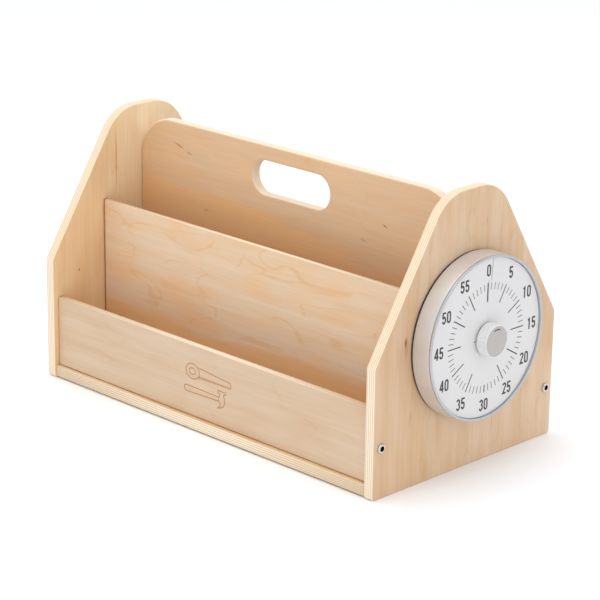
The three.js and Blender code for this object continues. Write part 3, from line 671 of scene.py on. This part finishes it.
def climbing(radii, starts, base, slits, columns=360):
    """Points and faces of a sheet that climbs as it goes round, like the turns of a screw.

    Its front is at base + rise * turns. Each ring between two radii starts at its own column.
    Its first end is cut back by the slit's width at each radius, an angle of slit / radius.
    """
    last = columns + max(starts)
    column = np.arange(last + 1)
    points = np.empty((last + 1, len(radii), 2, 3))
    for j, radius in enumerate(radii):
        first = starts[min(j, len(starts) - 1)]
        lost = slits[j] / radius * np.clip(1 - (column - first) / columns, 0, 1)
        angles = column / columns * 2 * math.pi + lost
        turn = angles / (2 * math.pi)
        for k, back in enumerate((0, sheet)):
            points[:, j, k] = np.column_stack([
                panel_face + base + rise_per_turn * turn - back,
                radius * np.sin(angles), dial_z + radius * np.cos(angles)])
    ids = np.arange(points.size // 3).reshape(last + 1, len(radii), 2)
    present = np.zeros((last + 2, len(radii) + 1), bool)
    for j, start in enumerate(starts):
        present[start + 1:start + 1 + columns, j + 1] = True
    faces = []
    for i in range(last):
        for j in range(len(starts)):
            if not present[i + 1, j + 1]:
                continue
            a, b, c, d = ids[i, j], ids[i + 1, j], ids[i + 1, j + 1], ids[i, j + 1]
            faces += [[a[0], b[0], c[0], d[0]], [d[1], c[1], b[1], a[1]]]
            sides = ((i + 1, j, a, b), (i + 2, j + 1, b, c), (i + 1, j + 2, c, d), (i, j + 1, d, a))
            for row, ring, p, q in sides:
                inside = ring < present.shape[1] and present[row, ring]
                if not inside:
                    faces.append([p[1], q[1], q[0], p[0]])
    used = np.unique(np.array([f for face in faces for f in face]))
    renumber = np.full(points.size // 3, -1)
    renumber[used] = np.arange(len(used))
    return points.reshape(-1, 3)[used], [[int(renumber[i]) for i in face] for face in faces]


# Matt white polystyrene. Outside the slit the sheet starts four columns, or four degrees, later.
dial_white = plastic("white dial sheet", "#dddbda", 0.55, grain=0.08, shade=0.02)
dial_radii, slit_widths = [6, 38, 39.5, slit_radius, 84.1], [0.8, 0.8, 1.6, 1.6, 1.6]
show("dial_face_sheet", "caddy_body", "dial_white", ["dial_face"], dial_white,
     *climbing(dial_radii, [0, 0, 0, outer_delay], dial_start, slit_widths), sharp=30)

# Satin purple film, printed right through.
purple = plastic("purple time film", "#9c3f86", 0.42, grain=0.06)
show("time_disc_sheet", "disc_body", "disc_purple", ["time_disc"], purple,
     *climbing([3.6, 60], [0], disc_start, [0, 0]), sharp=30)


# ---------------------------------------------------------------------------------------------
# Print on the dial
# Dark brown-grey pad-printed ticks and numbers, from 0 to 55 clockwise. Real ink is 0.01 mm thick;
# here it stands 0.04 mm proud, so that it never sinks into the sheet.

def dial_height(radius, angle):
    """Front of the dial at a radius and an angle in radians clockwise from twelve o'clock."""
    start = np.where(radius > slit_radius, math.radians(outer_delay), 0.0)
    turn = ((angle - start) % (2 * math.pi) + start) / (2 * math.pi)
    return dial_start + rise_per_turn * turn


def printed(name, material, across, up, faces):
    """A flat print laid on the dial and given a thickness, from coordinates across and up it."""
    radius, angle = np.hypot(across, up), np.arctan2(across, up)
    level = panel_face + dial_height(radius, angle)
    front = np.column_stack([level + 0.04, across, dial_z + up])
    back = np.column_stack([level + 0.005, across, dial_z + up])
    size = len(across)

    # An edge that no second face shares is on the outline, so it gets a wall.
    edges = [(p, q) for face in faces for p, q in zip(face, face[1:] + face[:1])]
    shared = set(edges) & {edge[::-1] for edge in edges}
    walls = [[q, p, p + size, q + size] for p, q in edges if (p, q) not in shared]
    both = [list(face) for face in faces] + [[i + size for i in face[::-1]] for face in faces]
    return show(name, "caddy_body", "dial_white", [], material, np.vstack([front, back]), both + walls,
                flat=len(both) + len(walls))


ink = plastic("brown-grey ink", "#3f3735", 0.5, grain=0.05)
grey_ink = plastic("grey ink", "#625b59", 0.5, grain=0.05)


def ticks(name, material, minutes, inner, outer, width):
    """Radial bars. The one at zero stands wholly left of the slit."""
    across, up, faces = [], [], []
    for minute in minutes:
        angle = minute * math.pi / 30
        shift = -width / 2 - 0.1 if minute == 0 else 0
        for radius, side in ((inner, -1), (inner, 1), (outer, 1), (outer, -1)):
            beside = side * width / 2 + shift
            across.append(radius * math.sin(angle) + beside * math.cos(angle))
            up.append(radius * math.cos(angle) - beside * math.sin(angle))
        faces.append([len(across) - 4, len(across) - 3, len(across) - 2, len(across) - 1])
    return printed(name, material, np.array(across), np.array(up), faces)


fives = [minute for minute in range(5, 60, 5) if minute != 30]
ticks("dial_tick_zero", ink, [0], 38.6, 58.8, 1.25)
ticks("dial_ticks_five", ink, fives, 39, 58.8, 1.25)
ticks("dial_tick_thirty", ink, [30], 50.5, 58.6, 1.5)
ticks("dial_ticks_one", grey_ink, [m for m in range(60) if m % 5], 50.7, 58.2, 0.85)


def bend(x, y, across, up, start, stop, count=13):
    """Points on an ellipse's arc, between two angles in degrees anticlockwise from the right."""
    turns = np.radians(np.linspace(start, stop, count))
    return [(x + across * math.cos(t), y + up * math.sin(t)) for t in turns]


# Pen strokes of bold condensed figures, in a cell 6 mm wide and 12.5 mm high.
digits = {
    "0": [bend(3, 9.4, 2.05, 2.2, 0, 180) + bend(3, 3.1, 2.05, 2.2, 180, 360) + [(5.05, 9.4)]],
    "1": [[(3.3, 0), (3.3, 12.5)], [(3.3, 10.9), (1.1, 9.9)]],
    "2": [bend(3, 9.3, 2.05, 2.3, 170, -22) + [(1.0, 0.9), (6, 0.9)]],
    "3": [bend(2.9, 9.3, 2.05, 2.3, 165, -90), bend(2.9, 3.85, 2.15, 2.95, 90, -168)],
    "4": [[(4.2, 0), (4.2, 12.5)], [(3.9, 12), (0.5, 3.6)], [(0, 3.5), (6.1, 3.5)]],
    "5": [[(5.6, 11.6), (1.3, 11.6), (1.05, 6.3)], bend(3, 4.1, 2.05, 3.2, 148, -168)],
}


def stroked(line, width):
    """Corners either side of a pen stroke.

    Each is off its point by half the width / the cosine of half the turn there.
    """
    line = np.asarray(line, float)
    run = np.diff(line, axis=0)
    run /= np.linalg.norm(run, axis=1)[:, None]
    if np.allclose(line[0], line[-1]):
        run = np.vstack([run[-1], run, run[0]])
    else:
        run = np.vstack([run[0], run, run[-1]])
    left = np.column_stack([-run[:, 1], run[:, 0]])
    aside = (left[:-1] + left[1:]) / (1 + (left[:-1] * left[1:]).sum(1))[:, None]
    return np.stack([line + aside * width / 2, line - aside * width / 2], 1).reshape(-1, 2)


number_ring, digit_pitch, pen = 72, 7.2, 2.05
for minute in range(0, 60, 5):
    angle = minute * math.pi / 30
    corners, faces, count = [], [], 0
    text = str(minute)
    for place, digit in enumerate(text):
        shift = digit_pitch * (place - len(text) / 2) + (digit_pitch - 6) / 2
        for line in digits[digit]:
            sides = stroked(line, pen) + [shift, -12.5 / 2]
            corners.append(sides)
            faces += [[i, i + 1, i + 3, i + 2] for i in range(count, count + len(sides) - 2, 2)]
            count += len(sides)
    corners = np.vstack(corners)
    printed(f"dial_number_{minute}", ink, corners[:, 0] + number_ring * math.sin(angle),
            corners[:, 1] + number_ring * math.cos(angle), faces)

turns = np.linspace(0, 2 * math.pi, 17)[:-1]
printed("dial_dot", ink, -18.4 + 0.7 * np.cos(turns), 0.7 * np.sin(turns), [list(range(16))])


# ---------------------------------------------------------------------------------------------
# Knob
# A pale moulded knob with 48 fine ribs for the fingers and a flat grey cap pressed into its front.
# A dark arc on the cap shows which way it points.

def ribbed(angles, radii, outs):
    """Ribs on the side, from just above the foot to just below the face: raised cosines."""
    fade = np.clip((outs - 25.1) / 1.2, 0, 1) * np.clip((36.9 - outs) / 0.8, 0, 1)
    dip = 0.25 * (1 - np.cos(48 * angles)) * fade * (radii > 16.2)
    return radii - dip, outs


# Glossy pale ABS under a cap sprayed warm grey.
knob_pale = plastic("pale knob", "#e4e2e0", 0.32, grain=0.2)
knob_grey = plastic("grey knob cap", "#bab4b1", 0.4, grain=0.15, metallic=0.3)
knob_profile = [
    (0, 24.9), (16.9, 24.9), *arc(17.0, 25.3, 0.4, -90, 0, 4),
    *[(17.4 - 0.03 * i, 25.3 + i) for i in range(1, 11)], *arc(16.3, 36.5, 0.8, 0, 90, 7),
    (16.1, 37.28), (15.9, 37.1), (15.85, 36.5), (9, 36.5), (0, 36.5),
]
show("timer_knob_grip", "knob_body", "knob_grey", ["timer_knob"], knob_pale,
     *skin(ringed(knob_profile, 480, ribbed)), sharp=50)
cap_profile = [
    (0, 36.4), (15.65, 36.4), (15.65, 37.0), *arc(15.45, 37.0, 0.2, 0, 90, 4), (9, 37.2), (0, 37.2),
]
show("timer_knob_cap", "knob_body", "knob_grey", [], knob_grey, *skin(ringed(cap_profile, 180)),
     sharp=50)

spread = np.radians(np.linspace(-22, 22, 23))
mark_section = ((11.8, 37.0), (11.8, 37.25), (13.1, 37.25), (13.1, 37.0))
mark_points = np.stack([np.column_stack([
    np.full(len(spread), panel_face + out), radius * np.sin(spread), dial_z + radius * np.cos(spread),
]) for radius, out in mark_section], 1).reshape(-1, 3)
ids = np.arange(len(mark_points)).reshape(len(spread), len(mark_section))
beside = np.roll(ids, -1, 1)
mark_faces = np.stack([ids[:-1], ids[1:], beside[1:], beside[:-1]], 2).reshape(-1, 4).tolist()
mark_faces += [ids[0].tolist(), ids[-1][::-1].tolist()]
show("timer_knob_mark", "knob_body", "knob_grey", [], ink, mark_points, mark_faces,
     flat=len(mark_faces))


# ---------------------------------------------------------------------------------------------
# Timer screws
# Four short steel screws, driven from inside the box through the end panel into the back cover.

for number in range(1, 5):
    node = f"timer_screw_{number}"
    low, high = span(node)
    middle = (low + high) / 2
    rows, angles = screw_rows(3.6, head_rise, 1.6, 20, 1.4, 1.2, 36)
    shape = [np.column_stack([
        np.full(len(angles), low[0] + head_rise - x), middle[1] + r * np.cos(angles),
        middle[2] + r * np.sin(angles),
    ]) for x, r in rows]
    show(node + "_steel", "caddy_body", "timer_screw_steel", [node], screw_steel, *skin(shape),
         sharp=40)


# ---------------------------------------------------------------------------------------------
# Clockwork
# Inside the timer: a dark moulded case with its lid, gears, step motor, circuit board, buzzer and
# one AA cell between sprung contacts. Their shapes are the CAD parts'.

# Each is plain moulded plastic or bare metal, so its shape and gloss do most of the work.
dark = plastic("dark moulding", "#32353c", 0.55, grain=0.3)
gear_cream = plastic("cream acetal", "#d9cfae", 0.4, grain=0.1)
inner_white = plastic("white tray", "#dedddb", 0.5, grain=0.15)
buzzer_black = plastic("black buzzer", "#242427", 0.5)
jacket = plastic("grey cell jacket", "#4a4d52", 0.3, grain=0.05, sheen=0.5)
nickel = metal("nickel contact", "#c9c5ba", 0.24, 0.25)
bright = metal("turned shaft steel", "#b4b2ae", 0.22, 0.3, (8, 0.2, 0.2))
copper = metal("enamelled copper wire", "#b3693a", 0.35, 0.9, (0.1, 6, 0.1))

# Green solder resist over copper tracks 2 to 3 mm apart, coarser than real, so that they show.
board_green, add = new_material("green circuit board")
coord = add("TexCoord", out="Object")
cells = add("TexVoronoi", {"Vector": coord, "Scale": 420}, distance="CHEBYCHEV",
            feature="DISTANCE_TO_EDGE")
track = add("MapRange", {"Value": cells, "From Min": 0.04, "From Max": 0.08, "To Min": 1, "To Max": 0})
tone = add("Mix", {0: track, 6: colour("#1f5a3b"), 7: colour("#2f7d52")}, out=2, data_type="RGBA")
relief = add("Bump", {"Height": track, "Strength": 0.4, "Distance": 0.00004})
surface = add("BsdfPrincipled", {"Base Color": tone, "Roughness": 0.35, "Normal": relief})
add("OutputMaterial", {"Surface": surface})

shown_materials = {
    "timer_back_cover": dark, "battery_door": dark, "clockwork_case": dark, "clockwork_lid": dark,
    "dial_tray": inner_white, "knob_shaft": bright, "shaft_gear": gear_cream,
    "motor_pinion": gear_cream, "motor_coil": copper, "circuit_board": board_green,
    "buzzer": buzzer_black, "battery_cell": jacket, "battery_contact_plus": nickel,
    "battery_contact_minus": nickel,
}
for node, material in shown_materials.items():
    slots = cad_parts[node].data.materials
    slots.clear()
    slots.append(material)


# ---------------------------------------------------------------------------------------------
# Floor, light and camera
# A pale matt floor under a bright even sky, with a large soft light overhead and smaller ones in
# front and to the right. The camera has a long lens, and looks down at the front right corner.

floor_white, add = new_material("pale floor")
coord = add("TexCoord", out="Object")
slow = add("TexNoise", {"Vector": coord, "Scale": 3, "Detail": 2})
gloss = add("MapRange", {"Value": slow, "To Min": 0.7, "To Max": 0.8})
surface = add("BsdfPrincipled", {"Base Color": colour("#fbfbfb"), "Roughness": gloss})
add("OutputMaterial", {"Surface": surface})
floor_mesh = bpy.data.meshes.new("floor")
floor_mesh.from_pydata([(-20, -20, 0), (20, -20, 0), (20, 20, 0), (-20, 20, 0)], [], [(0, 1, 2, 3)])
floor_mesh.materials.append(floor_white)
floor = bpy.data.objects.new("floor", floor_mesh)
bpy.context.scene.collection.objects.link(floor)

world = bpy.data.worlds.new("studio")
bpy.context.scene.world = world
world.use_nodes = True
sky = world.node_tree.nodes["Background"].inputs
sky["Color"].default_value, sky["Strength"].default_value = colour("#fafcff"), 0.98


def soft_light(name, place, aim, size, power):
    """A square area light at a place, in metres, turned to face its aim."""
    lamp = bpy.data.lights.new(name, "AREA")
    lamp.energy, lamp.size, lamp.color = power, size, colour("#f8fbff")[:3]
    holder = bpy.data.objects.new(name, lamp)
    holder.matrix_world = Matrix.Translation(place) @ (
        Vector(aim) - Vector(place)).to_track_quat("-Z", "Y").to_matrix().to_4x4()
    bpy.context.scene.collection.objects.link(holder)


soft_light("overhead", (-0.2, -0.2, 2.4), (0, 0, 0.1), 2.0, 20)
soft_light("front", (0.1, -1.9, 1.5), (0, 0, 0.15), 0.9, 3.4)
soft_light("side", (2.2, 0.1, 1.2), (0, 0, 0.15), 1.2, 1.6)

turn, tilt, roll = math.radians(44.61), math.radians(18.18), math.radians(0.82)
distance, aim = 2.542, Vector((-0.00855, 0.0023, 0.122))
back = Vector((math.sin(turn) * math.cos(tilt), -math.cos(turn) * math.cos(tilt), math.sin(tilt)))
right = Vector((math.cos(turn), math.sin(turn), 0))
upward = back.cross(right)
right, upward = (math.cos(roll) * right + math.sin(roll) * upward,
                 math.cos(roll) * upward - math.sin(roll) * right)
camera_data = bpy.data.cameras.new("camera")
camera_data.lens, camera_data.sensor_width = 139.37, 36
camera = bpy.data.objects.new("camera", camera_data)
camera.matrix_world = Matrix.Translation(aim + distance * back) @ Matrix(
    (right, upward, back)).transposed().to_4x4()
bpy.context.scene.collection.objects.link(camera)
bpy.context.scene.camera = camera
bpy.context.scene.view_settings.view_transform = "Standard"
